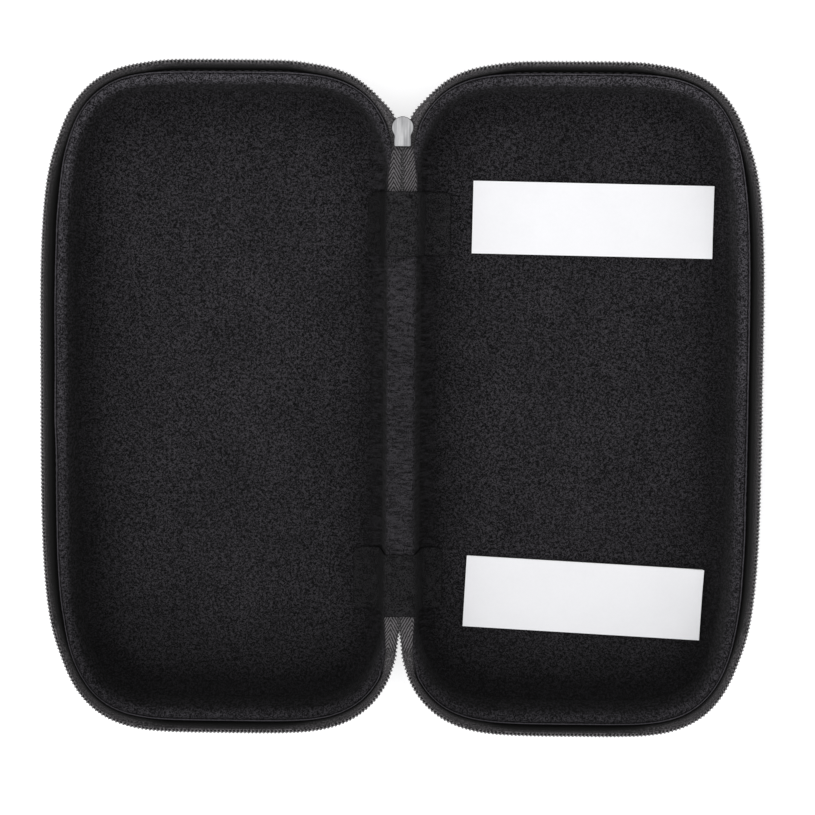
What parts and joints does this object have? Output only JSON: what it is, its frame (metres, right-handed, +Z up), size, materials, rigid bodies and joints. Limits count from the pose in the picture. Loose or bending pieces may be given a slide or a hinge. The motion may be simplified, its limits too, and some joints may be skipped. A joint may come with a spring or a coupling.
{
  "type": "zipped hard-shell carry case",
  "caption": "Moulded zipped carry case lying open flat: two fleece-lined trays joined by a cloth spine, with a zip slider and two strips of mounting tape.",
  "frame": {"origin": "on the table under the middle of the spine, with the case open flat on its two back panels", "axes": "+X from the lid to the base across the open case, +Y along the spine towards the slider, +Z up out of the open trays"},
  "size_m": [0.2876, 0.2712, 0.0323],
  "materials": {
    "outer_fabric": "matte black woven cloth",
    "foam": "black closed-cell foam",
    "fleece": "black brushed fleece",
    "felt": "black felt",
    "zip_tape": "dark herringbone woven tape",
    "nylon": "satin dark nylon",
    "thread": "black sewing thread",
    "zinc": "satin grey plated zinc",
    "adhesive": "double-sided foam tape",
    "release_paper": "smooth coated release paper"
  },
  "bodies": {
    "base": {"base_outer_fabric": "outer_fabric", "base_foam_shell": "foam", "base_lining": "fleece", "base_zip_tape": "zip_tape", "base_zip_coil": "nylon", "base_zip_seam": "thread", "upper_adhesive_tape": "adhesive", "lower_adhesive_tape": "adhesive", "upper_release_liner": "release_paper", "lower_release_liner": "release_paper", "upper_patch_base_wing": "felt", "lower_patch_base_wing": "felt"},
    "spine": {"spine_outer_fabric": "outer_fabric", "spine_lining": "fleece", "upper_patch_spine": "felt", "lower_patch_spine": "felt", "upper_chain_tape_base": "zip_tape", "upper_chain_tape_lid": "zip_tape", "upper_chain_coil_base": "nylon", "upper_chain_coil_lid": "nylon", "lower_chain_tape_base": "zip_tape", "lower_chain_tape_lid": "zip_tape", "lower_chain_coil_base": "nylon", "lower_chain_coil_lid": "nylon"},
    "lid": {"lid_outer_fabric": "outer_fabric", "lid_foam_shell": "foam", "lid_lining": "fleece", "lid_zip_tape": "zip_tape", "lid_zip_coil": "nylon", "lid_zip_seam": "thread", "upper_patch_lid_wing": "felt", "lower_patch_lid_wing": "felt"},
    "slider": {"slider_body": "zinc"},
    "pull_tab": {"pull_tab": "zinc"}
  },
  "joints": [
    {"name": "spine_fold", "type": "hinge", "parent": "base", "child": "spine", "pos_m": [0.0055, 0, 0.027], "axis": [0, 1, 0], "range_deg": [0, 90]},
    {"name": "lid_fold", "type": "hinge", "parent": "spine", "child": "lid", "pos_m": [-0.0055, 0, 0.027], "axis": [0, 1, 0], "range_deg": [0, 90]},
    {"name": "slider_travel", "type": "slide", "parent": "spine", "child": "slider", "axis": [0, 1, 0], "range_m": [0, 0.006]},
    {"name": "pull_tab_swing", "type": "hinge", "parent": "slider", "child": "pull_tab", "pos_m": [0, 0.1075, 0.0214], "axis": [1, 0, 0], "range_deg": [-30, 90]}
  ],
  "couplings": [
    {"joint": "lid_fold", "follows": "spine_fold", "ratio": 1}
  ]
}
